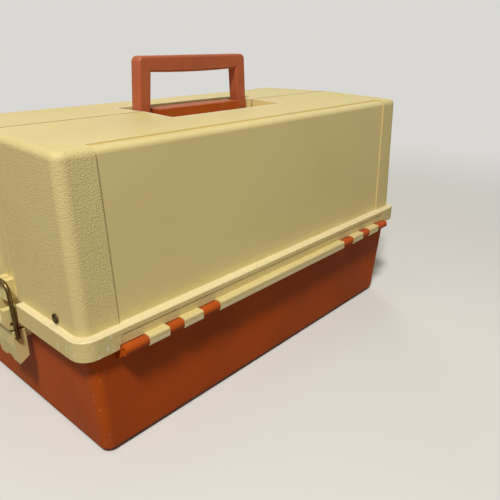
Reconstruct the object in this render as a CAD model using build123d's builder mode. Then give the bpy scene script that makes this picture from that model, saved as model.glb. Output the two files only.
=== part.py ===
"""Hip-roof tackle box: one tub, two lids that open to both sides, and trays that swing out with them.

Millimetres, +Z up. The origin is on the surface that the box stands on, under the middle of the box.
+X runs along the box, and -Y is the near long side.
"""
import os
from math import atan2, cos, degrees, hypot, radians, sin

from build123d import *

os.makedirs("parts", exist_ok=True)

# Clearances shared by the pieces
overrun = 5.0
running_gap = 0.06
seat_gap = 0.05
seam_gap = 1.2

# Lid flange, whose length and width set the size of the box
flange_length = 480.0
flange_width = 240.8
flange_overlap = 6.0
flange_height = 17.0
flange_wall = 2.5
flange_corner_radius = 15.0
flange_edge_radius = 1.2
flange_panel_inset = 36.0
flange_panel_height = 12.5
flange_panel_depth = 0.6

# Tub
foot_height = 2.5
foot_length = 60.0
foot_width = 14.0
foot_inset = 18.0
tub_end_inset = 18.7
tub_side_inset = 11.9
tub_end_flare = 7.5
tub_side_flare = 5.1
rim_height = 108.0
tub_wall = 3.0
tub_corner_radius = 9.0
tub_edge_radius = 3.5
edge_share = 0.3
lip_height = 3.0
lip_gap = 0.7

# Lid shell
lid_end_ledge = 6.0
lid_side_ledge = 7.8
lid_side_lean = 5.8
lid_end_lean = 0.3
lid_height = 137.4
roof_rise = 2.7
lid_wall = 3.0
lid_corner_radius = 9.0
lid_edge_radius = 6.0
panel_inset = 40.0
panel_flare = 3.0
panel_depth = 1.4
panel_wrap = 12.0
seam_rib_depth = 8.0

# Channel and gap for the latch in each lid end
channel_depth = 2.6
channel_floor_width = 20.0
channel_bevel = 8.0
channel_wall = 2.0
latch_gap_width = 47.0
latch_cut_reach = 15.0

# Hinges
hinge_stand = 2.6
hinge_drop = 0.5
hinge_inset = 34.0
knuckle_radius = 4.5
strap_half = 4.6
strap_edge_radius = 2.0
hinge_rod_radius = 1.6
hinge_rod_inset = 4.0
knuckle_gap = 0.5
notch_gap = 0.6
knuckle_web_height = 16.0
end_knuckle_width = 23.0
end_strap_width = 21.0
middle_knuckle_width = 16.0
inner_strap_width = 22.0
inner_knuckle_width = 21.0

# Tray linkage
arm_angle = 48.0
arm_drop = 6.5
arm_side_inset = 27.9
arm_spacing = 16.5
lower_reach = 31.0
upper_reach = 93.0
arm_half_width = 4.0
arm_thickness = 2.0
arm_end_inset = 20.0
link_end_inset = 13.5
lid_rivet_inset = 41.4
lid_rivet_rise = 23.5
rivet_radius = 1.8
rivet_head_radius = 4.0
rivet_head_height = 1.2
pivot_boss_radius = 5.0
arm_side_gap = 0.3
pivot_hole_depth = 4.0

# Trays
tray_end_gap = 2.4
tray_side_inset = 29.4
tray_inner_y = 8.0
tray_height = 43.0
tray_lift = 11.0
tray_wall = 2.0
tray_corner_radius = 2.6
tray_boss_radius = 4.0
tray_rivet_head_radius = 3.2
tray_rib_height = 34.0
divider_thickness = 1.6
divider_height = 36.0
divider_gap = 0.25
slot_rib_width = 1.4
slot_rib_depth = 1.6
lower_bays = 4
upper_bays = 6

# Handle and its well in the roof
handle_y = 14.5
handle_length = 155.6
handle_taper = 3.4
handle_leg_width = 14.0
handle_depth = 14.0
handle_grip_height = 15.0
handle_grip_swell = 1.4
handle_reach = 55.5
handle_pivot_height = 11.0
handle_corner_radius = 6.0
handle_inner_radius = 3.0
handle_edge_radius = 2.5
handle_pin_radius = 2.2
handle_pin_grip = 9.0
bar_end_gap = 5.3
bar_depth = 20.0
bar_height = 16.6
bar_offset = 3.0
bar_edge_radius = 1.2
screw_radius = 1.8
screw_head_radius = 3.4
screw_head_height = 1.6
screw_bite = 8.0
screw_spread_share = 0.72
well_end_gap = 1.7
well_side_gap = 3.0
well_depth = 16.6
well_wall = 2.5
well_corner_radius = 4.0

# Latches: places along X count from the end of the flange, heights from its bottom edge
bracket_width = 30.0
bracket_height = 19.0
bracket_top_drop = 1.5
bracket_face_inset = 7.0
ear_back_inset = 7.8
ear_front_stand = 9.0
ear_inner_y = 11.5
ear_outer_y = 17.5
ear_radius = 5.5
ear_rise = 11.5
lever_pivot_stand = 3.5
lever_pivot_drop = 2.5
lever_inner_y = 15.3
lever_outer_y = 17.8
lever_back_inset = 6.8
lever_front_stand = 4.2
lever_panel = 3.2
lever_top_drop = 11.0
lever_waist_drop = 26.5
lever_tip_stand = 2.4
lever_tip_drop = 43.5
lever_heel_drop = 38.1
lever_notch_radius = 8.0
lever_notch_depth = 3.5
lever_pin_radius = 1.6
lever_knuckle_gap = 0.4
bail_radius = 1.9
bail_pivot_stand = 1.3
bail_pivot_drop = 17.0
bail_top_stand = 3.0
bail_top_rise = 35.0
bail_half_width = 20.3
bail_corner_radius = 8.0
bail_foot_radius = 2.4
bail_foot_reach = 13.6
keeper_bottom_rise = 14.5
keeper_top_rise = 32.5
keeper_half_width = 8.0
keeper_gap = 0.6
bracket_rivet_radius = 2.0
bracket_rivet_head_radius = 4.2
bracket_rivet_spread = 13.0
bracket_rivet_drop = 10.5

# Places that follow from the sizes above
end_x = flange_length / 2
side_y = flange_width / 2
tub_length = flange_length - 2 * tub_end_inset
tub_width = flange_width - 2 * tub_side_inset
lid_length = flange_length - 2 * lid_end_ledge
lid_width = flange_width - 2 * lid_side_ledge
rim_z = foot_height + rim_height
flange_bottom = rim_z - flange_overlap
flange_top = flange_bottom + flange_height
eave_z = flange_top + lid_height
ridge_z = eave_z + roof_rise
roof_slope = roof_rise / (lid_width / 2 - lid_side_lean)
seam_half = seam_gap / 2
channel_x = lid_length / 2 - channel_depth
panel_length = flange_length - 2 * panel_inset
flange_panel_length = flange_length - 2 * flange_panel_inset
hinge_outer_x = end_x - hinge_inset
hinge_y = side_y + hinge_stand
hinge_z = flange_bottom - hinge_drop
arm_x = end_x - arm_end_inset
link_x = end_x - link_end_inset
boss_x = arm_x + arm_thickness + arm_side_gap
arm_z = rim_z - arm_drop
outer_arm_y = side_y - arm_side_inset
inner_arm_y = outer_arm_y - arm_spacing
lid_rivet_y = side_y - lid_rivet_inset
lid_rivet_z = hinge_z + lid_rivet_rise
drive_y = inner_arm_y - (hinge_y - lid_rivet_y)
drive_z = arm_z + lid_rivet_rise
tray_length = 2 * (arm_x - tray_end_gap)
tray_outer_y = side_y - tray_side_inset
tray_width = tray_outer_y - tray_inner_y
lower_tray_z = rim_z + tray_lift
upper_tray_z = lower_tray_z + (upper_reach - lower_reach) * sin(radians(arm_angle))
well_length = handle_length + 2 * well_end_gap
well_width = 2 * (handle_reach - handle_y + well_side_gap)
well_floor_z = ridge_z - well_depth
handle_pivot_z = well_floor_z + handle_pivot_height
bar_length = handle_length - 2 * handle_leg_width - 2 * bar_end_gap
bracket_top_z = flange_bottom - bracket_top_drop
bracket_bottom_z = bracket_top_z - bracket_height
bracket_face_x = end_x - bracket_face_inset
ear_back_x = end_x - ear_back_inset
ear_front_x = end_x + ear_front_stand
ear_top_z = flange_bottom + ear_rise
lever_pivot_x = end_x + lever_pivot_stand
lever_pivot_z = flange_bottom - lever_pivot_drop
lever_back_x = end_x - lever_back_inset
lever_front_x = end_x + lever_front_stand
lever_tip_x = end_x + lever_tip_stand
lever_top_z = flange_bottom - lever_top_drop
lever_waist_z = flange_bottom - lever_waist_drop
lever_tip_z = flange_bottom - lever_tip_drop
lever_heel_z = flange_bottom - lever_heel_drop
bail_pivot_x = end_x + bail_pivot_stand
bail_pivot_z = flange_bottom - bail_pivot_drop
bail_top_x = end_x + bail_top_stand
bail_top_z = flange_bottom + bail_top_rise
keeper_x = bail_top_x - bail_radius - keeper_gap
keeper_bottom_z = flange_bottom + keeper_bottom_rise
keeper_top_z = flange_bottom + keeper_top_rise
bracket_rivet_z = flange_bottom - bracket_rivet_drop

# Hinge knuckles of the left group, from the end inwards: tub, lid, tub, lid, tub
tub_knuckles = []
lid_straps = []
edge_x = hinge_outer_x
for width, on_tub in (
    (end_knuckle_width, True),
    (end_strap_width, False),
    (middle_knuckle_width, True),
    (inner_strap_width, False),
    (inner_knuckle_width, True),
):
    (tub_knuckles if on_tub else lid_straps).append((edge_x - width, edge_x))
    edge_x -= width
long_roll_half = edge_x


def arm_point(root_y, reach):
    """Where an arm that starts at root_y carries a tray, on the near side, as (y, z)."""
    return (
        -root_y + reach * cos(radians(arm_angle)),
        arm_z + reach * sin(radians(arm_angle)),
    )


def pin_along_x(start_x, end_x, radius, y, z):
    """Round bar along X between two places."""
    with BuildPart() as bar:
        with BuildSketch(Plane.YZ.offset(start_x)):
            with Locations((y, z)):
                Circle(radius)
        extrude(amount=end_x - start_x)
    return bar.part


def export(name, piece):
    """Label a finished piece and write it."""
    piece.label = name
    export_step(piece, "parts/" + name + ".step")


def both_ends(piece):
    """A piece of the right end with its mirror image at the left end."""
    with BuildPart() as pair:
        add(piece)
        mirror(piece, about=Plane.YZ)
    return pair.part


def far_side(piece):
    """Mirror image of a near-side piece."""
    with BuildPart() as image:
        mirror(piece, about=Plane.XZ)
    return image.part


# Tub: drafted open box with a turned-out lip, feet, hinge knuckles and pivot bosses for the tray arms
def tub_form(inset, floor, top):
    """Drafted block of the tub, drawn in by inset, from height floor to height top."""
    with BuildPart() as form:
        for height, tuck in (
            (floor, tub_edge_radius),
            (floor + edge_share * tub_edge_radius, edge_share * tub_edge_radius),
            (floor + tub_edge_radius, 0),
            (top, 0),
        ):
            rise_share = (height - foot_height) / rim_height
            with BuildSketch(Plane.XY.offset(height)):
                RectangleRounded(
                    tub_length + 2 * tub_end_flare * rise_share - 2 * inset - 2 * tuck,
                    tub_width + 2 * tub_side_flare * rise_share - 2 * inset - 2 * tuck,
                    tub_corner_radius - inset - tuck,
                )
        loft(ruled=True)
    return form.part


lip_length = flange_length - 2 * flange_wall - 2 * lip_gap
lip_width = flange_width - 2 * flange_wall - 2 * lip_gap
tub_rim_length = tub_length + 2 * tub_end_flare
tub_rim_width = tub_width + 2 * tub_side_flare
web_top_z = flange_bottom - notch_gap

with BuildPart() as tub:
    add(tub_form(0, foot_height, rim_z))
    with BuildSketch(Plane.XY.offset(rim_z - lip_height)):
        RectangleRounded(lip_length, lip_width, flange_corner_radius - flange_wall - lip_gap)
        Rectangle(lip_length + overrun, latch_gap_width + 2 * flange_wall + 2 * lip_gap, mode=Mode.SUBTRACT)
        RectangleRounded(
            tub_rim_length - 2 * tub_wall, tub_rim_width - 2 * tub_wall, tub_corner_radius - tub_wall
        )
    extrude(amount=lip_height)
    with BuildSketch(Plane.XY):
        with GridLocations(
            tub_length - foot_length - 2 * foot_inset, tub_width - foot_width - 2 * foot_inset, 2, 2
        ):
            SlotOverall(foot_length, foot_width)
    extrude(amount=foot_height + tub_wall / 2)
    for low_x, high_x in tub_knuckles:
        with BuildSketch(Plane.YZ.offset(low_x + knuckle_gap / 2)):
            with Locations((-hinge_y, hinge_z)):
                Circle(knuckle_radius)
            with BuildLine():
                Polyline(
                    (-hinge_y, web_top_z),
                    (-tub_width / 2, web_top_z),
                    (-tub_width / 2, web_top_z - knuckle_web_height),
                    (-hinge_y, hinge_z - knuckle_radius),
                    close=True,
                )
            make_face()
        extrude(amount=high_x - low_x - knuckle_gap)
    mirror(tub.part, about=Plane.YZ)
    mirror(tub.part, about=Plane.XZ)
    add(tub_form(tub_wall, foot_height + tub_wall, rim_z + overrun), mode=Mode.SUBTRACT)
    for side in (-1, 1):
        add(
            pin_along_x(
                -lid_length / 2, lid_length / 2, hinge_rod_radius + seat_gap, side * hinge_y, hinge_z
            ),
            mode=Mode.SUBTRACT,
        )
    for end in (-1, 1):
        for y in (-outer_arm_y, -inner_arm_y, inner_arm_y, outer_arm_y):
            add(pin_along_x(end * boss_x, end * (tub_rim_length - tub_wall) / 2, pivot_boss_radius, y, arm_z))
            hole = pin_along_x(
                end * arm_x, end * (boss_x + pivot_hole_depth), rivet_radius + seat_gap, y, arm_z
            )
            add(hole, mode=Mode.SUBTRACT)
    for end in (-1, 1):
        for y in (-bracket_rivet_spread / 2, bracket_rivet_spread / 2):
            hole = pin_along_x(
                end * arm_x, end * bracket_face_x, bracket_rivet_radius + seat_gap, y, bracket_rivet_z
            )
            add(hole, mode=Mode.SUBTRACT)
export("tub", tub.part)


# Lids: drafted shell with a peaked roof, flange, latch channel, handle well and hinge straps
def lid_form(inset, floor):
    """Near half of the drafted lid block, drawn in by inset, from height floor up to the roof."""
    with BuildPart() as form:
        for height in (floor, ridge_z + overrun):
            rise_share = (height - flange_top) / lid_height
            with BuildSketch(Plane.XY.offset(height)):
                RectangleRounded(
                    lid_length - 2 * lid_end_lean * rise_share - 2 * inset,
                    lid_width - 2 * lid_side_lean * rise_share - 2 * inset,
                    lid_corner_radius - inset,
                )
        loft(ruled=True)
        with BuildSketch(Plane.YZ):
            with BuildLine():
                Polyline(
                    (-lid_width, ridge_z - inset - roof_slope * lid_width),
                    (0, ridge_z - inset),
                    (lid_width, ridge_z - inset - roof_slope * lid_width),
                    (lid_width, ridge_z + 2 * overrun),
                    (-lid_width, ridge_z + 2 * overrun),
                    close=True,
                )
            make_face()
        extrude(amount=lid_length, both=True, mode=Mode.SUBTRACT)
        split(bisect_by=Plane.XZ.offset(seam_half), keep=Keep.TOP)
        roof = form.faces().sort_by(Axis.Z)[-1]
        eaves = roof.edges().filter_by(lambda edge: edge.center().Y < -seam_half - inset / 2 - seam_gap)
        fillet(eaves, lid_edge_radius - inset)
    return form.part


def strap(low_x, high_x):
    """Squared hinge strap of the near lid between two places along X."""
    with BuildPart() as block:
        with BuildSketch(Plane.YZ.offset(low_x + knuckle_gap / 2)):
            with Locations((-hinge_y, hinge_z)):
                RectangleRounded(2 * strap_half, 2 * strap_half, strap_edge_radius)
        extrude(amount=high_x - low_x - knuckle_gap)
    return block.part


panel_top_y = lid_width / 2 - lid_side_lean - panel_wrap
return_half = latch_gap_width / 2 + flange_wall
channel_back_x = channel_x - channel_wall
lid_boss_x = link_x + arm_thickness + arm_side_gap

with BuildPart() as panel_cutter:
    with BuildSketch(Plane.XZ):
        with BuildLine():
            Polyline(
                (-panel_length / 2, flange_top),
                (panel_length / 2, flange_top),
                (panel_length / 2 + panel_flare, ridge_z + overrun),
                (-panel_length / 2 - panel_flare, ridge_z + overrun),
                close=True,
            )
        make_face()
    extrude(amount=lid_width)
    with BuildSketch(Plane.XY.offset(flange_top)):
        Rectangle(2 * lid_length, 2 * panel_top_y)
    extrude(amount=2 * lid_height, mode=Mode.SUBTRACT)
    add(lid_form(panel_depth, flange_bottom), mode=Mode.SUBTRACT)

with BuildPart() as lid_hollow:
    add(lid_form(lid_wall, flange_top - flange_wall - overrun))
    with BuildSketch(Plane.XY.offset(well_floor_z - well_wall)):
        Rectangle(well_length + 2 * well_wall, well_width + 2 * well_wall)
    extrude(amount=lid_height, mode=Mode.SUBTRACT)
    with BuildSketch(Plane.XY.offset(ridge_z - lid_wall - seam_rib_depth)):
        Rectangle(lid_length, 2 * seam_half + 2 * lid_wall)
    extrude(amount=lid_height, mode=Mode.SUBTRACT)
    with BuildSketch(Plane.XY.offset(flange_bottom)):
        for end in (-1, 1):
            with Locations((end * (channel_back_x + overrun), 0)):
                Rectangle(2 * overrun, 2 * return_half)
    extrude(amount=2 * lid_height, mode=Mode.SUBTRACT)
    for end in (-1, 1):
        boss = pin_along_x(
            end * lid_boss_x, end * lid_length / 2, pivot_boss_radius, -lid_rivet_y, lid_rivet_z
        )
        add(boss, mode=Mode.SUBTRACT)

with BuildPart() as near_lid:
    with BuildSketch(Plane.XY.offset(flange_bottom)):
        RectangleRounded(flange_length, flange_width, flange_corner_radius)
    extrude(amount=flange_height)
    fillet(near_lid.edges().group_by(Axis.Z)[-1], flange_edge_radius)
    with BuildSketch(Plane.XY.offset(flange_bottom)):
        RectangleRounded(
            flange_length - 2 * flange_wall,
            flange_width - 2 * flange_wall,
            flange_corner_radius - flange_wall,
        )
        for end in (-1, 1):
            with Locations((end * (channel_back_x + latch_cut_reach), 0)):
                Rectangle(2 * latch_cut_reach, 2 * return_half, mode=Mode.SUBTRACT)
    extrude(amount=flange_height - flange_wall, mode=Mode.SUBTRACT)
    split(bisect_by=Plane.XZ.offset(seam_half), keep=Keep.TOP)
    add(lid_form(0, flange_top - flange_wall))
    add(lid_hollow.part, mode=Mode.SUBTRACT)
    add(panel_cutter.part, mode=Mode.SUBTRACT)
    with BuildSketch(Plane.XY.offset(flange_bottom)):
        for end in (-1, 1):
            with BuildLine():
                Polyline(
                    (end * channel_x, channel_floor_width / 2),
                    (end * channel_x, -channel_floor_width / 2),
                    (end * lid_length / 2, -channel_floor_width / 2 - channel_bevel),
                    (end * flange_length / 2, -channel_floor_width / 2 - channel_bevel),
                    (end * flange_length / 2, channel_floor_width / 2),
                    close=True,
                )
            make_face()
    extrude(amount=2 * lid_height, mode=Mode.SUBTRACT)
    with BuildSketch(Plane.XY.offset(flange_bottom)):
        for end in (-1, 1):
            with Locations((end * (channel_x + latch_cut_reach), 0)):
                Rectangle(2 * latch_cut_reach, latch_gap_width)
    extrude(amount=flange_height, mode=Mode.SUBTRACT)
    with BuildSketch(Plane.XY.offset(well_floor_z)):
        RectangleRounded(well_length, well_width, well_corner_radius)
    extrude(amount=2 * well_depth, mode=Mode.SUBTRACT)
    with BuildSketch(Plane.XZ.offset(flange_width / 2 - flange_panel_depth)):
        with Locations((0, flange_bottom + flange_panel_height / 2 - overrun / 2)):
            Rectangle(flange_panel_length, flange_panel_height + overrun)
    extrude(amount=overrun, mode=Mode.SUBTRACT)
    for low_x, high_x in tub_knuckles:
        for end in (-1, 1):
            notch = pin_along_x(
                end * (low_x - knuckle_gap / 2),
                end * (high_x + knuckle_gap / 2),
                knuckle_radius + notch_gap,
                -hinge_y,
                hinge_z,
            )
            add(notch, mode=Mode.SUBTRACT)
    for low_x, high_x in lid_straps:
        add(strap(low_x, high_x))
        add(strap(-high_x, -low_x))
    add(strap(-long_roll_half, long_roll_half))
    rod_hole = pin_along_x(
        -flange_length / 2, flange_length / 2, hinge_rod_radius + running_gap, -hinge_y, hinge_z
    )
    add(rod_hole, mode=Mode.SUBTRACT)
    with BuildSketch(Plane.XY.offset(keeper_bottom_z)):
        for end in (-1, 1):
            with Locations((end * (channel_back_x + keeper_x) / 2, -(seam_half + keeper_half_width) / 2)):
                Rectangle(keeper_x - channel_back_x, keeper_half_width - seam_half)
    extrude(amount=keeper_top_z - keeper_bottom_z)
    for end in (-1, 1):
        hole = pin_along_x(
            end * link_x,
            end * (lid_length / 2 + overrun),
            rivet_radius + seat_gap,
            -lid_rivet_y,
            lid_rivet_z,
        )
        add(hole, mode=Mode.SUBTRACT)
export("near_lid", near_lid.part)

screw_x = bar_length * screw_spread_share / 2
screw_places = [(-screw_x, handle_y), (screw_x, handle_y)]
with BuildPart() as far_lid:
    mirror(near_lid.part, about=Plane.XZ)
    with BuildSketch(Plane.XY.offset(well_floor_z - well_wall - overrun)):
        with Locations(*screw_places):
            Circle(screw_radius + seat_gap)
    extrude(amount=well_wall + 2 * overrun, mode=Mode.SUBTRACT)
export("far_lid", far_lid.part)

# Hinge rods, set in a little from the outer knuckles
near_rod = pin_along_x(
    -hinge_outer_x + hinge_rod_inset, hinge_outer_x - hinge_rod_inset, hinge_rod_radius, -hinge_y, hinge_z
)
export("near_hinge_rod", near_rod)
export("far_hinge_rod", far_side(near_rod))


# Rivets: a shank along X with a low round head at one end or both
def rivet(near_x, far_x, y, z, head_radius):
    """Rivet of the right end from near_x to far_x, with a head beyond each of these two places."""
    with BuildPart() as piece:
        add(pin_along_x(near_x, far_x, rivet_radius, y, z))
        add(pin_along_x(near_x - rivet_head_height, near_x, head_radius, y, z))
        add(pin_along_x(far_x, far_x + rivet_head_height, head_radius, y, z))
    return piece.part


arm_inner_x = arm_x - arm_side_gap
arm_outer_x = arm_x + arm_thickness + arm_side_gap
link_inner_x = link_x - arm_side_gap
link_outer_x = link_x + arm_thickness + arm_side_gap

with BuildPart() as lid_rivets:
    add(both_ends(rivet(link_inner_x, lid_length / 2, -lid_rivet_y, lid_rivet_z, rivet_head_radius)))
export("near_lid_rivets", lid_rivets.part)
export("far_lid_rivets", far_side(lid_rivets.part))

with BuildPart() as pivot_rivets:
    for y in (-outer_arm_y, -inner_arm_y):
        add(both_ends(pin_along_x(arm_inner_x, boss_x + pivot_hole_depth, rivet_radius, y, arm_z)))
        add(both_ends(pin_along_x(arm_inner_x - rivet_head_height, arm_inner_x, rivet_head_radius, y, arm_z)))
export("near_arm_pivots", pivot_rivets.part)
export("far_arm_pivots", far_side(pivot_rivets.part))


# Arms and links: flat steel strips with rounded ends
def strip(runs, low_x, holes):
    """Strip at the right end with its inner face at low_x, along runs of two (y, z) places, with holes."""
    with BuildPart() as piece:
        with BuildSketch(Plane.YZ.offset(low_x)):
            for (start_y, start_z), (end_y, end_z) in runs:
                with Locations(((start_y + end_y) / 2, (start_z + end_z) / 2)):
                    SlotCenterToCenter(
                        hypot(end_y - start_y, end_z - start_z),
                        2 * arm_half_width,
                        rotation=degrees(atan2(end_z - start_z, end_y - start_y)),
                    )
        extrude(amount=arm_thickness)
        for y, z in holes:
            hole = pin_along_x(low_x - overrun, low_x + 2 * overrun, rivet_radius + running_gap, y, z)
            add(hole, mode=Mode.SUBTRACT)
    return piece.part


def export_four(name, piece):
    """Write a right-end near-side piece and its three mirror images."""
    left = mirror(piece, about=Plane.YZ, mode=Mode.PRIVATE)
    export("near_" + name + "_right", piece)
    export("near_" + name + "_left", left)
    export("far_" + name + "_right", mirror(piece, about=Plane.XZ, mode=Mode.PRIVATE))
    export("far_" + name + "_left", mirror(left, about=Plane.XZ, mode=Mode.PRIVATE))


outer_root = (-outer_arm_y, arm_z)
inner_root = (-inner_arm_y, arm_z)
outer_lower = arm_point(outer_arm_y, lower_reach)
outer_upper = arm_point(outer_arm_y, upper_reach)
inner_lower = arm_point(inner_arm_y, lower_reach)
inner_upper = arm_point(inner_arm_y, upper_reach)
drive_place = (-drive_y, drive_z)
lid_place = (-lid_rivet_y, lid_rivet_z)

export_four("outer_arm", strip([(outer_root, outer_upper)], arm_x, [outer_root, outer_lower, outer_upper]))
export_four(
    "inner_arm",
    strip(
        [(inner_root, inner_upper), (inner_root, drive_place)],
        arm_x,
        [inner_root, inner_lower, inner_upper, drive_place],
    ),
)
export_four("link", strip([(lid_place, drive_place)], link_x, [lid_place, drive_place]))

with BuildPart() as link_pins:
    add(both_ends(rivet(arm_inner_x, link_outer_x, -drive_y, drive_z, rivet_head_radius)))
export("near_link_pins", link_pins.part)
export("far_link_pins", far_side(link_pins.part))


# Trays: open boxes with bosses for the arms; the lower has fixed ribs, the upper has slots for dividers
def tray(bottom_z, bosses, bays, fixed):
    """Near tray that stands at bottom_z, with a boss at each of the bosses and its length cut in bays."""
    bay = (tray_length - 2 * tray_wall) / bays
    middle_y = -(tray_inner_y + tray_width / 2)
    with BuildPart() as box:
        with BuildSketch(Plane.XY.offset(bottom_z)):
            with Locations((0, middle_y)):
                RectangleRounded(tray_length, tray_width, tray_corner_radius)
        extrude(amount=tray_height)
        with BuildSketch(Plane.XY.offset(bottom_z + tray_wall)):
            with Locations((0, middle_y)):
                RectangleRounded(
                    tray_length - 2 * tray_wall, tray_width - 2 * tray_wall, tray_corner_radius - tray_wall
                )
        extrude(amount=tray_height, mode=Mode.SUBTRACT)
        with BuildSketch(Plane.XY.offset(bottom_z + tray_wall / 2)):
            for index in range(1, bays):
                x = -tray_length / 2 + tray_wall + index * bay
                if fixed:
                    with Locations((x, middle_y)):
                        Rectangle(divider_thickness, tray_width - tray_wall)
                else:
                    step = divider_thickness / 2 + divider_gap + slot_rib_width / 2
                    reach = tray_width / 2 - tray_wall - slot_rib_depth / 2
                    for side_x in (-step, step):
                        for side_y in (-reach, reach):
                            with Locations((x + side_x, middle_y + side_y)):
                                Rectangle(slot_rib_width, slot_rib_depth + tray_wall)
        extrude(amount=tray_rib_height)
        for y, z in bosses:
            boss = pin_along_x((tray_length - tray_wall) / 2, arm_inner_x, tray_boss_radius, y, z)
            add(both_ends(boss))
            hole = pin_along_x(tray_length / 2 - overrun, arm_x + overrun, rivet_radius + seat_gap, y, z)
            add(both_ends(hole), mode=Mode.SUBTRACT)
    return box.part


def tray_rivets(bosses):
    """Rivets that hold a near tray to its arms at both ends."""
    with BuildPart() as group:
        for y, z in bosses:
            add(both_ends(rivet(tray_length / 2 - tray_wall, arm_outer_x, y, z, tray_rivet_head_radius)))
    return group.part


def dividers(bottom_z, bays):
    """Removable dividers of a near tray, standing in its slots."""
    bay = (tray_length - 2 * tray_wall) / bays
    middle_y = -(tray_inner_y + tray_width / 2)
    with BuildPart() as group:
        with BuildSketch(Plane.XY.offset(bottom_z + tray_wall)):
            for index in range(1, bays):
                with Locations((-tray_length / 2 + tray_wall + index * bay, middle_y)):
                    Rectangle(divider_thickness, tray_width - 2 * tray_wall - 2 * divider_gap)
        extrude(amount=divider_height)
    return group.part


for name, bottom_z, bosses, bays, fixed in (
    ("lower_tray", lower_tray_z, [outer_lower, inner_lower], lower_bays, True),
    ("upper_tray", upper_tray_z, [outer_upper, inner_upper], upper_bays, False),
):
    near_tray = tray(bottom_z, bosses, bays, fixed)
    near_rivets = tray_rivets(bosses)
    export("near_" + name, near_tray)
    export("far_" + name, far_side(near_tray))
    export("near_" + name + "_rivets", near_rivets)
    export("far_" + name + "_rivets", far_side(near_rivets))
near_dividers = dividers(upper_tray_z, upper_bays)
export("near_dividers", near_dividers)
export("far_dividers", far_side(near_dividers))

# Handle bar on the floor of the far half of the well, with its two screws from below
bar_y = handle_y - bar_offset
bar_plane = Plane.XY.offset(well_floor_z)
with BuildPart() as handle_bar:
    with BuildSketch(bar_plane):
        with Locations((0, bar_y)):
            Rectangle(bar_length, bar_depth)
    extrude(amount=bar_height)
    fillet(handle_bar.edges().group_by(Axis.Z)[-1], bar_edge_radius)
    with BuildSketch(bar_plane):
        with Locations(*screw_places):
            Circle(screw_radius + seat_gap)
    extrude(amount=screw_bite, mode=Mode.SUBTRACT)
    for end in (-1, 1):
        hole = pin_along_x(
            end * (bar_length / 2 - handle_pin_grip),
            end * handle_length,
            handle_pin_radius + seat_gap,
            handle_y,
            handle_pivot_z,
        )
        add(hole, mode=Mode.SUBTRACT)
export("handle_bar", handle_bar.part)

with BuildPart() as bar_screws:
    with BuildSketch(Plane.XY.offset(well_floor_z - well_wall - screw_head_height)):
        with Locations(*screw_places):
            Circle(screw_head_radius)
    extrude(amount=screw_head_height)
    with BuildSketch(Plane.XY.offset(well_floor_z - well_wall)):
        with Locations(*screw_places):
            Circle(screw_radius)
    extrude(amount=well_wall + screw_bite - overrun / 2)
export("bar_screws", bar_screws.part)

# Handle pins through the legs into the bar
pin_start_x = bar_length / 2 - handle_pin_grip
pin_end_x = handle_length / 2 - handle_edge_radius
with BuildPart() as handle_pins:
    add(both_ends(pin_along_x(pin_start_x, pin_end_x, handle_pin_radius, handle_y, handle_pivot_z)))
export("handle_pins", handle_pins.part)

# Handle: a drafted bow with rounded corners whose legs end round the pins
handle_top_z = handle_pivot_z + handle_reach
leg_half = handle_length / 2
with BuildPart() as handle:
    with BuildSketch(Plane.XZ.offset(-handle_y)) as bow:
        with BuildLine():
            Polyline(
                (-leg_half, handle_pivot_z),
                (-leg_half + handle_taper, handle_top_z),
                (leg_half - handle_taper, handle_top_z),
                (leg_half, handle_pivot_z),
                close=True,
            )
        make_face()
        fillet(bow.vertices().group_by(Axis.Y)[-1], handle_corner_radius)
        window_top_z = handle_top_z - handle_grip_height
        window_half = leg_half - handle_leg_width
        with BuildLine():
            ThreePointArc(
                (window_half - handle_taper, window_top_z),
                (0, window_top_z - handle_grip_swell),
                (-window_half + handle_taper, window_top_z),
            )
            Polyline(
                (-window_half + handle_taper, window_top_z),
                (-window_half, handle_pivot_z),
                (window_half, handle_pivot_z),
                (window_half - handle_taper, window_top_z),
            )
        make_face(mode=Mode.SUBTRACT)
        fillet(
            bow.vertices().filter_by(lambda corner: abs(corner.Z - window_top_z) < seat_gap),
            handle_inner_radius,
        )
    extrude(amount=handle_depth / 2, both=True)
    long_edges = handle.faces().filter_by(Axis.Y).edges()
    fillet(long_edges.filter_by(lambda edge: edge.center().Z > handle_pivot_z + seat_gap), handle_edge_radius)
    for end in (-1, 1):
        add(
            pin_along_x(
                end * window_half, end * leg_half, handle_depth / 2 - seat_gap, handle_y, handle_pivot_z
            )
        )
        hole = pin_along_x(
            end * bar_length / 2,
            end * handle_length,
            handle_pin_radius + running_gap,
            handle_y,
            handle_pivot_z,
        )
        add(hole, mode=Mode.SUBTRACT)
export("handle", handle.part)

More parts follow.
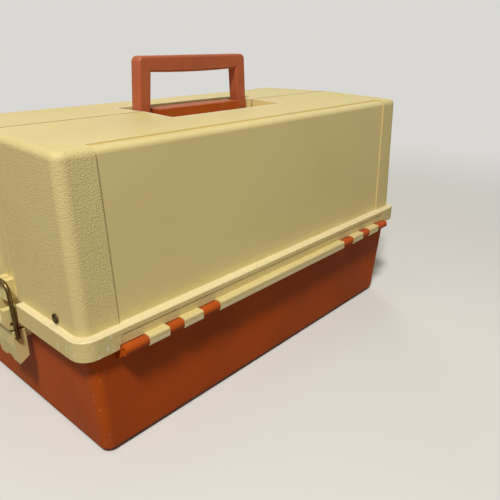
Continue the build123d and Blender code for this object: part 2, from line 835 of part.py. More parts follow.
# Latch bracket: plate on the tub end with two ears that carry the lever
with BuildPart() as bracket:
    with BuildSketch(Plane.XZ.offset(-bracket_width / 2)):
        with BuildLine():
            Polyline(
                (arm_x, bracket_bottom_z),
                (bracket_face_x, bracket_bottom_z),
                (bracket_face_x, bracket_top_z),
                (arm_x, bracket_top_z),
                close=True,
            )
        make_face()
    extrude(amount=bracket_width)
    for side_y in (-ear_outer_y, ear_inner_y):
        with BuildSketch(Plane.XZ.offset(-side_y - ear_outer_y + ear_inner_y)):
            with Locations((lever_pivot_x, lever_pivot_z)):
                Circle(ear_radius)
            with BuildLine():
                Polyline(
                    (lever_pivot_x, lever_pivot_z - ear_radius),
                    (lever_pivot_x, lever_pivot_z),
                    (ear_front_x, lever_pivot_z),
                    (ear_front_x, ear_top_z),
                    (ear_back_x, ear_top_z),
                    (ear_back_x, bracket_top_z),
                    (arm_x, bracket_top_z),
                    (arm_x, lever_pivot_z - ear_radius),
                    close=True,
                )
            make_face()
        extrude(amount=ear_outer_y - ear_inner_y)
    add(tub_form(0, foot_height, rim_z), mode=Mode.SUBTRACT)
    with BuildSketch(Plane.XZ.offset(-ear_outer_y - overrun)):
        with Locations((lever_pivot_x, lever_pivot_z)):
            Circle(lever_pin_radius + seat_gap)
    extrude(amount=2 * ear_outer_y + 2 * overrun, mode=Mode.SUBTRACT)
    for y in (-bracket_rivet_spread / 2, bracket_rivet_spread / 2):
        hole = pin_along_x(
            arm_x, bracket_face_x + overrun, bracket_rivet_radius + seat_gap, y, bracket_rivet_z
        )
        add(hole, mode=Mode.SUBTRACT)


def export_ends(name, piece):
    """Write a right-end piece and its mirror image at the left end."""
    export("right_" + name, piece)
    export("left_" + name, mirror(piece, about=Plane.YZ, mode=Mode.PRIVATE))


export_ends("latch_bracket", bracket.part)

# Bracket rivets, from inside the tub to the face of the bracket
rivet_rise_share = (bracket_rivet_z - foot_height) / rim_height
rivet_root_x = tub_length / 2 + tub_end_flare * rivet_rise_share - tub_wall - rivet_head_height
with BuildPart() as bracket_rivets:
    for y in (-bracket_rivet_spread / 2, bracket_rivet_spread / 2):
        add(pin_along_x(rivet_root_x, bracket_face_x, bracket_rivet_radius, y, bracket_rivet_z))
        head = pin_along_x(
            bracket_face_x, bracket_face_x + rivet_head_height, bracket_rivet_head_radius, y, bracket_rivet_z
        )
        add(head)
export_ends("bracket_rivets", bracket_rivets.part)

# Lever pin across the ears
with BuildPart() as lever_pin:
    with BuildSketch(Plane.XZ.offset(-ear_outer_y)):
        with Locations((lever_pivot_x, lever_pivot_z)):
            Circle(lever_pin_radius)
    extrude(amount=2 * ear_outer_y)
export_ends("lever_pin", lever_pin.part)

# Lever: a front panel between two side wings, hung from a knuckle between the ears
knuckle_half = ear_inner_y - lever_knuckle_gap
panel_back_x = lever_front_x - lever_panel
with BuildPart() as lever:
    with BuildSketch(Plane.XZ.offset(-lever_outer_y)):
        with BuildLine():
            Polyline(
                (lever_back_x, lever_heel_z),
                (lever_tip_x, lever_tip_z),
                (lever_front_x, lever_waist_z),
                (lever_front_x, lever_top_z),
                (lever_back_x, lever_top_z),
                close=True,
            )
        make_face()
    extrude(amount=2 * lever_outer_y)
    with BuildSketch(Plane.XZ.offset(-lever_inner_y)):
        with BuildLine():
            Polyline(
                (arm_x, foot_height),
                (panel_back_x, foot_height),
                (panel_back_x, lever_top_z + overrun),
                (arm_x, lever_top_z + overrun),
                close=True,
            )
        make_face()
    extrude(amount=2 * lever_inner_y, mode=Mode.SUBTRACT)
    with BuildSketch(Plane.YZ.offset(panel_back_x - overrun)):
        with Locations((0, lever_tip_z - lever_notch_radius + lever_notch_depth)):
            Circle(lever_notch_radius)
    extrude(amount=4 * overrun, mode=Mode.SUBTRACT)
    with BuildSketch(Plane.XZ.offset(-knuckle_half)):
        with Locations((lever_pivot_x, lever_pivot_z)):
            Circle(ear_radius)
        with BuildLine():
            Polyline(
                (panel_back_x, lever_waist_z),
                (lever_front_x, lever_waist_z),
                (lever_front_x, lever_pivot_z),
                (panel_back_x, lever_pivot_z),
                close=True,
            )
        make_face()
    extrude(amount=2 * knuckle_half)
    for x, z, radius in (
        (lever_pivot_x, lever_pivot_z, lever_pin_radius + running_gap),
        (bail_pivot_x, bail_pivot_z, bail_radius + running_gap),
    ):
        with BuildSketch(Plane.XZ.offset(-lever_outer_y - overrun)):
            with Locations((x, z)):
                Circle(radius)
        extrude(amount=2 * lever_outer_y + 2 * overrun, mode=Mode.SUBTRACT)
export_ends("latch_lever", lever.part)

# Bail: one bent wire whose feet turn in through the wings of the lever
bail_length = hypot(bail_top_x - bail_pivot_x, bail_top_z - bail_pivot_z)
bail_plane = Plane(
    origin=(bail_pivot_x, 0, bail_pivot_z),
    x_dir=(0, 1, 0),
    z_dir=(bail_top_z - bail_pivot_z, 0, bail_pivot_x - bail_top_x),
)
with BuildPart() as bail:
    with BuildLine(bail_plane) as wire:
        FilletPolyline(
            (-bail_foot_reach, 0),
            (-bail_half_width, 0),
            (-bail_half_width, bail_length),
            (bail_half_width, bail_length),
            (bail_half_width, 0),
            (bail_foot_reach, 0),
            radius=(bail_foot_radius, bail_corner_radius, bail_corner_radius, bail_foot_radius),
        )
    with BuildSketch(Plane(origin=wire.line @ 0, z_dir=wire.line % 0)):
        Circle(bail_radius)
    sweep()
export_ends("latch_bail", bail.part)
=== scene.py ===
import math

import bpy
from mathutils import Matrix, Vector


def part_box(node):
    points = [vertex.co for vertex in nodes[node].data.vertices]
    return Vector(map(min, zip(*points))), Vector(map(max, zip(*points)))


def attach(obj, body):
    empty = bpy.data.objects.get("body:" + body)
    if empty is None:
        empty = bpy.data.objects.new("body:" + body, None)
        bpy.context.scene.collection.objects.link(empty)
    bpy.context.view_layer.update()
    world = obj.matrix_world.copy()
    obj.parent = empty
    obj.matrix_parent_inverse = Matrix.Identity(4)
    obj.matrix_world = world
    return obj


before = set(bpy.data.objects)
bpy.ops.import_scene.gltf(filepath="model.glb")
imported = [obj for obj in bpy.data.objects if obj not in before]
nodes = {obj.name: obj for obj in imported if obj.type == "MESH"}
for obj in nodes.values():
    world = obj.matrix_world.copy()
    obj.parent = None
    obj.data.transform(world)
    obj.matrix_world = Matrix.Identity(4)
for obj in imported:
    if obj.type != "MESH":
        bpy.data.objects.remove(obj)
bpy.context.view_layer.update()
scene = bpy.context.scene
scene.view_settings.view_transform = "Standard"

# Camera: stands off the near left corner of the box, a little above its roof, and looks down along it.
# Place and turn come from fitting the straight edges of the box to the photograph.
camera_place = (-0.40013, -0.42479, 0.33098)
camera_turn = (67.763, -0.693, -48.198)
camera_lens = 37.79
film_width = 36.0
nearest_seen = 0.01
bpy.ops.object.camera_add(location=camera_place, rotation=[math.radians(angle) for angle in camera_turn])
camera = bpy.context.object
camera.data.lens = camera_lens
camera.data.sensor_width = film_width
camera.data.clip_start = nearest_seen
scene.camera = camera

# Room light: one small lamp high over the near left corner, a weak wide one behind, and a dim pale world.
# The backdrop that the camera sees is pale by its colour alone, and puts no more light on the box.
fill_colour = (1.0, 0.945, 0.80, 1.0)
fill_strength = 0.16
backdrop_colour = (0.70, 0.685, 0.655, 1.0)
world = bpy.data.worlds.new("pale_room")
world.use_nodes = True
world_tree = world.node_tree
room_fill = world_tree.nodes["Background"]
room_fill.inputs["Color"].default_value = fill_colour
room_fill.inputs["Strength"].default_value = fill_strength
backdrop = world_tree.nodes.new("ShaderNodeBackground")
backdrop.inputs["Color"].default_value = backdrop_colour
world_rays = world_tree.nodes.new("ShaderNodeLightPath")
shown_rays = world_rays.outputs["Is Camera Ray"]
for ray in ("Is Transmission Ray", "Is Glossy Ray"):
    either_ray = world_tree.nodes.new("ShaderNodeMath")
    either_ray.operation = "MAXIMUM"
    world_tree.links.new(shown_rays, either_ray.inputs[0])
    world_tree.links.new(world_rays.outputs[ray], either_ray.inputs[1])
    shown_rays = either_ray.outputs["Value"]
fill_or_backdrop = world_tree.nodes.new("ShaderNodeMixShader")
world_tree.links.new(shown_rays, fill_or_backdrop.inputs["Fac"])
world_tree.links.new(room_fill.outputs["Background"], fill_or_backdrop.inputs[1])
world_tree.links.new(backdrop.outputs["Background"], fill_or_backdrop.inputs[2])
world_tree.links.new(fill_or_backdrop.outputs["Shader"], world_tree.nodes["World Output"].inputs["Surface"])
scene.world = world


def soft_lamp(name, place, target, size, power, colour):
    """Square area lamp at a place, turned to a target."""
    bpy.ops.object.light_add(type="AREA", location=place)
    lamp = bpy.context.object
    lamp.name = name
    lamp.data.size = size
    lamp.data.energy = power
    lamp.data.color = colour
    reach = [b - a for a, b in zip(place, target)]
    level = math.hypot(reach[0], reach[1])
    heading = math.atan2(reach[1], reach[0]) - math.pi / 2
    lamp.rotation_euler = (math.atan2(level, -reach[2]), 0.0, heading)
    return lamp


box_middle = (0.0, 0.0, 0.13)
corner_lamp_place = (-1.24, -0.88, 2.23)
corner_lamp_colour = (0.99, 0.98, 0.93)
rear_lamp_place = (1.50, 1.60, 1.10)
rear_lamp_colour = (1.0, 0.95, 0.86)
soft_lamp("corner_lamp", corner_lamp_place, box_middle, size=0.35, power=58.5, colour=corner_lamp_colour)
rear_lamp = soft_lamp("rear_lamp", rear_lamp_place, box_middle, size=0.9, power=11.0, colour=rear_lamp_colour)
rear_lamp.visible_glossy = False

# Floor: a plain pale sheet that the box stands on. It isn't part of the box.
# Light that bounces off it finds it darker than the camera does, and far off it fades into the backdrop.
floor_side = 8.0
floor_bounce = (0.26, 0.22, 0.18, 1.0)
floor_pale = (0.80, 0.785, 0.76, 1.0)
floor_roughness = 0.85
fade_start = 0.45
fade_end = 1.4
mix_first, mix_second, mix_result = 6, 7, 2
bpy.ops.mesh.primitive_plane_add(size=floor_side, location=(0.0, 0.0, 0.0))
floor = bpy.context.object
floor.name = "floor"
floor_paint = bpy.data.materials.new("pale_floor")
floor_paint.use_nodes = True
floor_tree = floor_paint.node_tree
floor_shader = floor_tree.nodes["Principled BSDF"]
floor_shader.inputs["Roughness"].default_value = floor_roughness
floor_rays = floor_tree.nodes.new("ShaderNodeLightPath")
floor_tone = floor_tree.nodes.new("ShaderNodeMix")
floor_tone.data_type = "RGBA"
floor_tone.inputs[mix_first].default_value = floor_bounce
floor_tone.inputs[mix_second].default_value = floor_pale
floor_tree.links.new(floor_rays.outputs["Is Camera Ray"], floor_tone.inputs["Factor"])
floor_tree.links.new(floor_tone.outputs[mix_result], floor_shader.inputs["Base Color"])
floor_place = floor_tree.nodes.new("ShaderNodeTexCoord")
floor_reach = floor_tree.nodes.new("ShaderNodeVectorMath")
floor_reach.operation = "LENGTH"
floor_tree.links.new(floor_place.outputs["Object"], floor_reach.inputs[0])
floor_fade = floor_tree.nodes.new("ShaderNodeMapRange")
floor_fade.interpolation_type = "SMOOTHSTEP"
floor_fade.inputs["From Min"].default_value = fade_start
floor_fade.inputs["From Max"].default_value = fade_end
floor_tree.links.new(floor_reach.outputs["Value"], floor_fade.inputs["Value"])
floor_seen = floor_tree.nodes.new("ShaderNodeMath")
floor_seen.operation = "MULTIPLY"
floor_tree.links.new(floor_fade.outputs["Result"], floor_seen.inputs[0])
floor_tree.links.new(floor_rays.outputs["Is Camera Ray"], floor_seen.inputs[1])
floor_far = floor_tree.nodes.new("ShaderNodeEmission")
floor_far.inputs["Color"].default_value = backdrop_colour
floor_blend = floor_tree.nodes.new("ShaderNodeMixShader")
floor_tree.links.new(floor_seen.outputs["Value"], floor_blend.inputs["Fac"])
floor_tree.links.new(floor_shader.outputs["BSDF"], floor_blend.inputs[1])
floor_tree.links.new(floor_far.outputs["Emission"], floor_blend.inputs[2])
floor_tree.links.new(floor_blend.outputs["Shader"], floor_tree.nodes["Material Output"].inputs["Surface"])
floor.data.materials.append(floor_paint)


# Tub: the drafted orange box that everything hangs on, moulded in one piece with its hinge knuckles.
# The plastic is satin and plain, a little darker and duller in patches and towards the bottom.
class Finish:
    """A new material with its shader, and short ways to add and join its nodes."""

    def __init__(self, name, colour, roughness, metallic=0.0, specular=0.5):
        self.material = bpy.data.materials.new(name)
        self.material.use_nodes = True
        self.tree = self.material.node_tree
        self.shader = self.tree.nodes["Principled BSDF"]
        self.shader.inputs["Base Color"].default_value = (*colour, 1.0)
        self.shader.inputs["Roughness"].default_value = roughness
        self.shader.inputs["Metallic"].default_value = metallic
        self.shader.inputs["Specular IOR Level"].default_value = specular
        self.place = self.tree.nodes.new("ShaderNodeTexCoord").outputs["Object"]

    def axes(self):
        """Object coordinates as three sockets."""
        node = self.tree.nodes.new("ShaderNodeSeparateXYZ")
        self.tree.links.new(self.place, node.inputs["Vector"])
        return node.outputs["X"], node.outputs["Y"], node.outputs["Z"]

    def math(self, operation, first, second=0.0, clamp=False):
        """One sum on two sockets or numbers."""
        node = self.tree.nodes.new("ShaderNodeMath")
        node.operation = operation
        node.use_clamp = clamp
        for socket, value in zip(node.inputs, (first, second)):
            if isinstance(value, (int, float)):
                socket.default_value = value
            else:
                self.tree.links.new(value, socket)
        return node.outputs["Value"]

    def times(self, first, *others):
        """All the sockets or numbers multiplied."""
        for other in others:
            first = self.math("MULTIPLY", first, other)
        return first

    def most(self, first, *others):
        """The largest of the sockets or numbers."""
        for other in others:
            first = self.math("MAXIMUM", first, other)
        return first

    def over(self, value, limit):
        """One where the value is above the limit, and zero elsewhere."""
        return self.math("GREATER_THAN", value, limit)

    def under(self, value, limit):
        """One where the value is below the limit, and zero elsewhere."""
        return self.math("LESS_THAN", value, limit)

    def inside(self, value, low, high):
        """One where the value lies between low and high, and zero elsewhere."""
        return self.times(self.over(value, low), self.under(value, high))

    def span(self, value, low, high, low_out=0.0, high_out=1.0):
        """The value stretched from low..high to low_out..high_out, held at both ends."""
        node = self.tree.nodes.new("ShaderNodeMapRange")
        node.inputs["From Min"].default_value = low
        node.inputs["From Max"].default_value = high
        node.inputs["To Min"].default_value = low_out
        node.inputs["To Max"].default_value = high_out
        self.tree.links.new(value, node.inputs["Value"])
        return node.outputs["Result"]

    def noise(self, scale, detail=3.0, rough=0.5):
        """Noise of the given scale, in cells per metre."""
        node = self.tree.nodes.new("ShaderNodeTexNoise")
        node.inputs["Scale"].default_value = scale
        node.inputs["Detail"].default_value = detail
        node.inputs["Roughness"].default_value = rough
        self.tree.links.new(self.place, node.inputs["Vector"])
        return node.outputs["Fac"]

    def patches(self, scale, low, high, low_out=0.0, high_out=1.0, detail=5.0, rough=0.5):
        """Noise of the given scale, stretched from low..high to low_out..high_out."""
        return self.span(self.noise(scale, detail, rough), low, high, low_out, high_out)

    def pebbles(self, scale):
        """Rounded cells of the given scale, in cells per metre: high in the middle of each."""
        node = self.tree.nodes.new("ShaderNodeTexVoronoi")
        node.feature = "SMOOTH_F1"
        node.inputs["Scale"].default_value = scale
        node.inputs["Smoothness"].default_value = 0.6
        self.tree.links.new(self.place, node.inputs["Vector"])
        return self.math("SUBTRACT", 1.0, node.outputs["Distance"])

    def mix(self, share, first, second):
        """Colour between two colours or sockets."""
        node = self.tree.nodes.new("ShaderNodeMix")
        node.data_type = "RGBA"
        self.tree.links.new(share, node.inputs["Factor"])
        for socket, value in zip((node.inputs[mix_first], node.inputs[mix_second]), (first, second)):
            if isinstance(value, tuple):
                socket.default_value = (*value, 1.0)
            else:
                self.tree.links.new(value, socket)
        return node.outputs[mix_result]

    def paint(self, socket, value):
        """Join a socket to the shader."""
        self.tree.links.new(value, self.shader.inputs[socket])

    def bump(self, height, depth, strength=1.0):
        """Relief of the given depth in metres."""
        node = self.tree.nodes.new("ShaderNodeBump")
        node.inputs["Distance"].default_value = depth
        if isinstance(strength, (int, float)):
            node.inputs["Strength"].default_value = strength
        else:
            self.tree.links.new(strength, node.inputs["Strength"])
        self.tree.links.new(height, node.inputs["Height"])
        self.tree.links.new(node.outputs["Normal"], self.shader.inputs["Normal"])

    def put_on(self, *names):
        """Give the finish to CAD nodes."""
        for name in names:
            mesh = nodes[name].data
            mesh.materials.clear()
            mesh.materials.append(self.material)


orange = (0.52, 0.088, 0.007)
orange_dull = (0.39, 0.068, 0.012)
orange_pale = (0.66, 0.26, 0.14)
foot_z = 0.004
dark_band_top_z = 0.030
corner_start_x, corner_end_x = 0.214, 0.240
corner_start_y, corner_end_y = 0.096, 0.130
tub_plastic = Finish("orange_tub_plastic", orange, roughness=0.42, specular=0.15)
tub_x, tub_y, tub_z = tub_plastic.axes()
tub_cloud = tub_plastic.patches(scale=9.0, low=0.42, high=0.72, detail=6.0)
tub_tone = tub_plastic.mix(tub_cloud, orange, orange_dull)
# The tub is made darker and duller towards the bottom, in noisy patches.
tub_darker_near_bottom = tub_plastic.span(tub_z, foot_z, dark_band_top_z, low_out=0.55, high_out=0.0)
tub_darker_near_bottom = tub_plastic.times(tub_darker_near_bottom, tub_plastic.noise(scale=60.0, detail=5.0))
tub_tone = tub_plastic.mix(tub_darker_near_bottom, tub_tone, orange_dull)
tub_knocks = tub_plastic.times(
    tub_plastic.patches(scale=330.0, low=0.66, high=0.71, detail=3.0, rough=0.6),
    tub_plastic.inside(tub_plastic.math("ABSOLUTE", tub_x), corner_start_x, corner_end_x),
    tub_plastic.inside(tub_plastic.math("ABSOLUTE", tub_y), corner_start_y, corner_end_y),
)
tub_plastic.paint("Base Color", tub_plastic.mix(tub_knocks, tub_tone, orange_pale))
tub_plastic.paint("Roughness", tub_plastic.patches(40.0, low=0.3, high=0.7, low_out=0.36, high_out=0.52))
tub_plastic.bump(tub_plastic.noise(scale=420.0, detail=2.0), depth=0.00012, strength=0.35)
tub_plastic.put_on("tub")

# Hinge rods, pivots, pins, arms and links: plated mild steel, drawn or stamped, gone dull with age.
# The plating has worn unevenly, with a few brown specks.
steel = (0.52, 0.51, 0.48)
steel_brown = (0.30, 0.22, 0.14)
plated_steel = Finish("dull_plated_steel", steel, roughness=0.38, metallic=1.0)
specks = plated_steel.patches(scale=260.0, low=0.60, high=0.72, detail=6.0)
plated_steel.paint("Base Color", plated_steel.mix(specks, steel, steel_brown))
plated_steel.paint("Roughness", plated_steel.patches(120.0, low=0.3, high=0.7, low_out=0.28, high_out=0.52))
plated_steel.bump(plated_steel.noise(scale=900.0), depth=0.00005, strength=0.4)
for side in ("near", "far"):
    plated_steel.put_on(side + "_hinge_rod", side + "_arm_pivots", side + "_link_pins")
    plated_steel.put_on(side + "_lower_tray_rivets", side + "_upper_tray_rivets")
    for end in ("left", "right"):
        plated_steel.put_on(side + "_outer_arm_" + end, side + "_inner_arm_" + end, side + "_link_" + end)
plated_steel.put_on("bar_screws", "handle_pins")

# Trays and dividers: thin tan trays moulded with ribs, and loose pale dividers that stand in slots.
# They are smooth inside, with a faint bloom of dust.
tan = (0.62, 0.50, 0.27)
tan_dusty = (0.56, 0.46, 0.28)
tray_plastic = Finish("tan_tray_plastic", tan, roughness=0.45)
dust = tray_plastic.patches(scale=25.0, low=0.4, high=0.75, detail=6.0)
tray_plastic.paint("Base Color", tray_plastic.mix(dust, tan, tan_dusty))
tray_sheen = tray_plastic.patches(60.0, low=0.3, high=0.7, low_out=0.38, high_out=0.55, detail=4.0)
tray_plastic.paint("Roughness", tray_sheen)
tray_plastic.bump(tray_plastic.noise(scale=700.0, detail=2.0), depth=0.00008, strength=0.3)
tray_plastic.put_on("near_lower_tray", "near_upper_tray", "far_lower_tray", "far_upper_tray")
ivory = (0.72, 0.66, 0.50)
ivory_dusty = (0.66, 0.59, 0.43)
divider_plastic = Finish("ivory_divider_plastic", ivory, roughness=0.40)
divider_cloud = divider_plastic.patches(scale=50.0, low=0.35, high=0.7, detail=4.0)
divider_plastic.paint("Base Color", divider_plastic.mix(divider_cloud, ivory, ivory_dusty))
divider_plastic.bump(divider_plastic.noise(scale=800.0, detail=2.0), depth=0.00006, strength=0.3)
divider_plastic.put_on("near_dividers", "far_dividers")

# Lids: two cream shells moulded with a pebbled grain, with a smooth panel along each long side,
# a smooth ledge on the flange and a smooth channel at the middle of each end.
# Painted shade darkens the grain's pits, the panel's steps and the roof seam; painted light makes the
# up-facing ledge paler, a painted highlight runs along the well rim, and the knuckles are made paler.
cream = (0.78, 0.65, 0.295)
cream_worn = (0.71, 0.57, 0.25)
cream_painted_shade = (0.30, 0.22, 0.09)
cream_pale_and_highlight = (0.92, 0.86, 0.70)
panel_half = 0.200
panel_lean = 0.0207
panel_edge_y = 0.0948
step_start, step_end = -0.0009, 0.0003
channel_start_x = 0.2295
channel_half_width = 0.018
flange_top_z = 0.1215
flange_foot_z = 0.1045
ledge_under, ledge_over = 0.0004, 0.0010
face_margin = 0.0015
edge_margin = 0.0005
corner_sum = 0.325
seam_reach = 0.0014
roof_low_z = 0.25
well_half_length = 0.0795
well_half_width = 0.0440
rim_low_z = 0.2575
rim_full, rim_end = 0.0008, 0.0030
wall_margin = 0.00005
step_shade_share = 0.25
seam_shade_share = 0.8
ledge_light_and_knuckle_share = 0.30
ripple_share = 0.6
grain_depth = 0.00062
grain_strength = 0.48
smooth_strength = 0.03
lid_plastic = Finish("cream_lid_plastic", cream, roughness=0.45, specular=0.40)
lid_x, lid_y, lid_z = lid_plastic.axes()
reach_x = lid_plastic.math("ABSOLUTE", lid_x)
reach_y = lid_plastic.math("ABSOLUTE", lid_y)
rise = lid_plastic.math("SUBTRACT", lid_z, flange_top_z)
panel_line = lid_plastic.math("ADD", lid_plastic.times(rise, panel_lean), panel_half)
past_panel = lid_plastic.math("SUBTRACT", reach_x, panel_line)
on_roof = lid_plastic.under(reach_y, panel_edge_y)
channel = lid_plastic.times(
    lid_plastic.under(reach_y, channel_half_width),
    lid_plastic.over(reach_x, channel_start_x),
)
ledge = lid_plastic.inside(lid_z, flange_top_z - ledge_under, flange_top_z + ledge_over)
flange_face = lid_plastic.inside(lid_z, flange_foot_z, flange_top_z - face_margin)
grained = lid_plastic.most(lid_plastic.over(past_panel, 0.0), on_roof, flange_face)
for smooth_place in (channel, ledge):
    grained = lid_plastic.math("SUBTRACT", grained, smooth_place, clamp=True)
ripples = lid_plastic.times(lid_plastic.noise(scale=1450.0), ripple_share)
grain = lid_plastic.math("ADD", lid_plastic.pebbles(scale=880.0), ripples)
age = lid_plastic.patches(scale=6.0, low=0.40, high=0.75, detail=6.0)
lid_tone = lid_plastic.mix(age, cream, cream_worn)
# Painted shade: the pits of the grain are darkened, standing in for the shading of the grain's relief.
painted_pit_shade = lid_plastic.span(grain, low=0.62, high=1.02, low_out=0.09, high_out=0.0)
painted_pit_shade = lid_plastic.times(painted_pit_shade, grained)
lid_tone = lid_plastic.mix(painted_pit_shade, lid_tone, cream_painted_shade)
# Painted shade: a dark line in the step at each panel's edge and along the roof seam between the lids, broken
# up by noise.
painted_step_shade = lid_plastic.times(
    lid_plastic.inside(past_panel, step_start, step_end),
    lid_plastic.over(lid_z, flange_top_z + ledge_under),
    lid_plastic.math("SUBTRACT", 1.0, on_roof),
    step_shade_share,
)
painted_seam_shade = lid_plastic.times(
    lid_plastic.under(reach_y, seam_reach),
    seam_shade_share,
    lid_plastic.over(lid_z, roof_low_z),
)
painted_groove_shade = lid_plastic.times(
    lid_plastic.most(painted_step_shade, painted_seam_shade),
    lid_plastic.patches(scale=45.0, low=0.25, high=0.6, low_out=0.45, high_out=0.95, detail=4.0),
)
lid_tone = lid_plastic.mix(painted_groove_shade, lid_tone, cream_painted_shade)
# Painted light: the up-facing ledge is made paler, as if lit from above; the knuckles are made paler as well.
on_knuckles = lid_plastic.under(lid_z, flange_foot_z - edge_margin)
ledge_light_and_pale_knuckles = lid_plastic.times(lid_plastic.most(ledge, on_knuckles), ledge_light_and_knuckle_share)
lid_tone = lid_plastic.mix(ledge_light_and_pale_knuckles, lid_tone, cream_pale_and_highlight)
# Painted highlight: a pale line along the well rim, standing in for the light on its rounded edge.
past_rim = lid_plastic.most(
    lid_plastic.math("SUBTRACT", reach_x, well_half_length),
    lid_plastic.math("SUBTRACT", reach_y, well_half_width),
)
painted_rim_highlight = lid_plastic.times(
    lid_plastic.span(past_rim, rim_full, rim_end, low_out=1.0, high_out=0.0),
    lid_plastic.over(past_rim, wall_margin),
    lid_plastic.over(lid_z, rim_low_z),
    lid_plastic.patches(scale=120.0, low=0.25, high=0.6, low_out=0.35, high_out=0.9, detail=4.0),
)
lid_tone = lid_plastic.mix(painted_rim_highlight, lid_tone, cream_pale_and_highlight)
lid_knocks = lid_plastic.times(
    lid_plastic.patches(scale=260.0, low=0.63, high=0.67, detail=3.0, rough=0.6),
    lid_plastic.inside(lid_z, flange_foot_z - edge_margin, flange_top_z - edge_margin),
    lid_plastic.over(lid_plastic.math("ADD", reach_x, reach_y), corner_sum),
)
lid_plastic.paint("Base Color", lid_plastic.mix(lid_knocks, lid_tone, cream_pale_and_highlight))
lid_plastic.paint("Roughness", lid_plastic.span(grained, 0.0, 1.0, low_out=0.40, high_out=0.52))
lid_plastic.bump(grain, grain_depth, lid_plastic.span(grained, 0.0, 1.0, smooth_strength, grain_strength))
lid_plastic.put_on("near_lid", "far_lid")

# Lid rivets and bracket rivets: hollow rivets of darkened steel, whose rims are rolled over on the lid ends.
# Each eyelet is turned from a disc: its face is set in, sunk and rounded, and one stands at each lid rivet.
rivet_dark = (0.080, 0.056, 0.022)
rivet_tarnish = (0.17, 0.125, 0.055)
rivet_steel = Finish("darkened_rivet_steel", rivet_dark, roughness=0.55, metallic=0.4, specular=0.15)
tarnish = rivet_steel.patches(scale=500.0, low=0.4, high=0.7, detail=4.0)
rivet_steel.paint("Base Color", rivet_steel.mix(tarnish, rivet_dark, rivet_tarnish))
rivet_steel.bump(rivet_steel.noise(scale=1200.0, detail=2.0), depth=0.00005, strength=0.4)
rivet_steel.put_on("near_lid_rivets", "far_lid_rivets", "left_bracket_rivets", "right_bracket_rivets")
rivet_steel.put_on("left_lever_pin", "right_lever_pin")
eyelet_sides = 40
eyelet_radius = 0.0042
eyelet_height = 0.0014
eyelet_rim = 0.0019
eyelet_sink = 0.0010
eyelet_step = 0.0003
eyelet_rounding = 0.0006
rounding_steps = 4
top_slack = 1e-6
facing_up = 0.9
smooth_angle = 35.0
rivet_head_height = 0.0012
rivet_low, rivet_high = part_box("near_lid_rivets")
rivet_place_y = (rivet_low[1] + rivet_high[1]) / 2
rivet_place_z = (rivet_low[2] + rivet_high[2]) / 2
eyelet_place_x = rivet_high[0] - rivet_head_height + eyelet_height / 2


def choose(mesh, test, face=True):
    """Select the faces or edges of a mesh that pass a test, in object mode."""
    for item in list(mesh.polygons) + list(mesh.edges) + list(mesh.vertices):
        item.select = False
    for item in mesh.polygons if face else mesh.edges:
        item.select = test(item)


def settle(piece, body, finish):
    """Put a piece's place into its mesh, smooth it, give it its finish and let it ride on its body."""
    bpy.ops.object.select_all(action="DESELECT")
    piece.select_set(True)
    bpy.context.view_layer.objects.active = piece
    bpy.ops.object.transform_apply(location=True, rotation=True, scale=True)
    bpy.ops.object.mode_set(mode="EDIT")
    bpy.ops.mesh.select_all(action="SELECT")
    bpy.ops.mesh.normals_make_consistent(inside=False)
    bpy.ops.object.mode_set(mode="OBJECT")
    bpy.ops.object.shade_smooth_by_angle(angle=math.radians(smooth_angle))
    piece.data.materials.clear()
    piece.data.materials.append(finish.material)
    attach(piece, body)


def on_top(edge):
    """True for an edge of the eyelet whose two points are on its top."""
    top_z = eyelet_height / 2 - top_slack
    return all(eyelet.data.vertices[point].co.z > top_z for point in edge.vertices)


bpy.ops.object.select_all(action="DESELECT")
bpy.ops.mesh.primitive_cylinder_add(vertices=eyelet_sides, radius=eyelet_radius, depth=eyelet_height)
eyelet = bpy.context.object
choose(eyelet.data, lambda face: face.normal.z > facing_up)
bpy.ops.object.mode_set(mode="EDIT")
bpy.ops.mesh.select_mode(type="FACE")
bpy.ops.mesh.inset(thickness=eyelet_rim)
bpy.ops.mesh.extrude_region_move(TRANSFORM_OT_translate={"value": (0.0, 0.0, -eyelet_sink)})
bpy.ops.mesh.inset(thickness=eyelet_step)
bpy.ops.object.mode_set(mode="OBJECT")
choose(eyelet.data, on_top, face=False)
bpy.ops.object.mode_set(mode="EDIT")
bpy.ops.mesh.select_mode(type="EDGE")
bpy.ops.mesh.bevel(offset=eyelet_rounding, segments=rounding_steps, affect="EDGES")
bpy.ops.object.mode_set(mode="OBJECT")
for side, body, across in (("near", "near_lid", 1.0), ("far", "far_lid", -1.0)):
    for end, along in (("left", -1.0), ("right", 1.0)):
        copy = eyelet.copy()
        copy.data = eyelet.data.copy()
        copy.name = side + "_lid_eyelet_" + end
        scene.collection.objects.link(copy)
        copy.rotation_euler = (0.0, along * math.pi / 2, 0.0)
        copy.location = (along * eyelet_place_x, across * rivet_place_y, rivet_place_z)
        settle(copy, body, rivet_steel)
bpy.data.objects.remove(eyelet)

# Latches: cream brackets and levers moulded smooth, each with a bent wire bail.
# The wire is brass-plated steel that has gone brown.
latch_plastic = Finish("cream_latch_plastic", cream, roughness=0.42)
handled = latch_plastic.patches(scale=60.0, low=0.45, high=0.75)
latch_plastic.paint("Base Color", latch_plastic.mix(handled, cream, cream_worn))
latch_plastic.bump(latch_plastic.noise(scale=500.0, detail=2.0), depth=0.00010, strength=0.3)
bronze = (0.15, 0.105, 0.040)
bronze_rubbed = (0.27, 0.19, 0.08)
bail_wire = Finish("brown_bail_wire", bronze, roughness=0.36, metallic=1.0)
wire_rub = bail_wire.patches(scale=180.0, low=0.42, high=0.7)
bail_wire.paint("Base Color", bail_wire.mix(wire_rub, bronze, bronze_rubbed))
wire_sheen = bail_wire.patches(300.0, low=0.3, high=0.7, low_out=0.28, high_out=0.5, detail=3.0)
bail_wire.paint("Roughness", wire_sheen)
bail_wire.bump(bail_wire.noise(scale=1500.0, detail=2.0), depth=0.00004, strength=0.4)
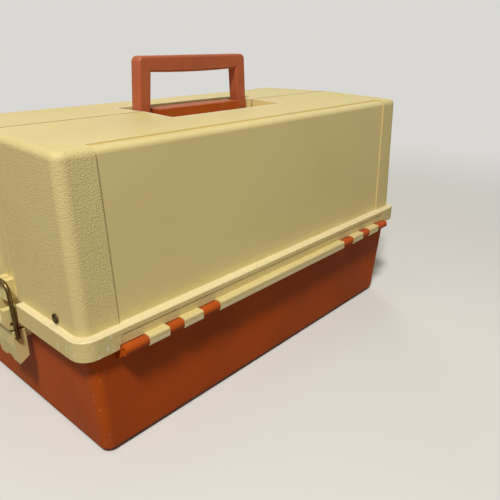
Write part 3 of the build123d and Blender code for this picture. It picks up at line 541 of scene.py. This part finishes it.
for end in ("left", "right"):
    latch_plastic.put_on(end + "_latch_bracket", end + "_latch_lever")
    bail_wire.put_on(end + "_latch_bail")

# Handle and handle bar: the same orange plastic as the tub, a little browner from handling.
# The bar's top edges are rubbed paler where the folded handle knocks on them.
handle_orange = (0.45, 0.106, 0.037)
handle_brown = (0.37, 0.084, 0.032)
handle_plastic = Finish("orange_handle_plastic", handle_orange, roughness=0.40, specular=0.40)
grip_wear = handle_plastic.patches(scale=45.0, low=0.46, high=0.75, detail=6.0)
handle_plastic.paint("Base Color", handle_plastic.mix(grip_wear, handle_orange, handle_brown))
grip_sheen = handle_plastic.patches(80.0, low=0.3, high=0.7, low_out=0.34, high_out=0.52, detail=4.0)
handle_plastic.paint("Roughness", grip_sheen)
handle_plastic.bump(handle_plastic.noise(scale=480.0, detail=2.0), depth=0.00012, strength=0.35)
handle_plastic.put_on("handle")
bar_orange = (0.40, 0.085, 0.010)
bar_rubbed = (0.46, 0.17, 0.06)
top_start, top_full = 0.0012, 0.0004
far_start, far_full = 0.0065, 0.0028
front_start, front_full = 0.0016, 0.0008
bar_low, bar_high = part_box("handle_bar")
bar_plastic = Finish("rubbed_bar_plastic", orange, roughness=0.45, specular=0.15)
bar_x, bar_y, bar_z = bar_plastic.axes()
bar_cloud = bar_plastic.patches(scale=60.0, low=0.42, high=0.72)
bar_tone = bar_plastic.mix(bar_cloud, bar_orange, orange_dull)
rubbed = bar_plastic.times(
    bar_plastic.patches(scale=210.0, low=0.48, high=0.62, rough=0.65),
    bar_plastic.span(bar_z, bar_high[2] - top_start, bar_high[2] - top_full),
    bar_plastic.most(
        bar_plastic.span(bar_y, bar_high[1] - far_start, bar_high[1] - far_full),
        bar_plastic.span(bar_y, bar_low[1] + front_start, bar_low[1] + front_full),
    ),
)
bar_plastic.paint("Base Color", bar_plastic.mix(rubbed, bar_tone, bar_rubbed))
bar_plastic.paint("Roughness", bar_plastic.span(rubbed, 0.0, 1.0, low_out=0.42, high_out=0.65))
bar_plastic.bump(bar_plastic.noise(scale=480.0), depth=0.00015, strength=0.4)
bar_plastic.put_on("handle_bar")
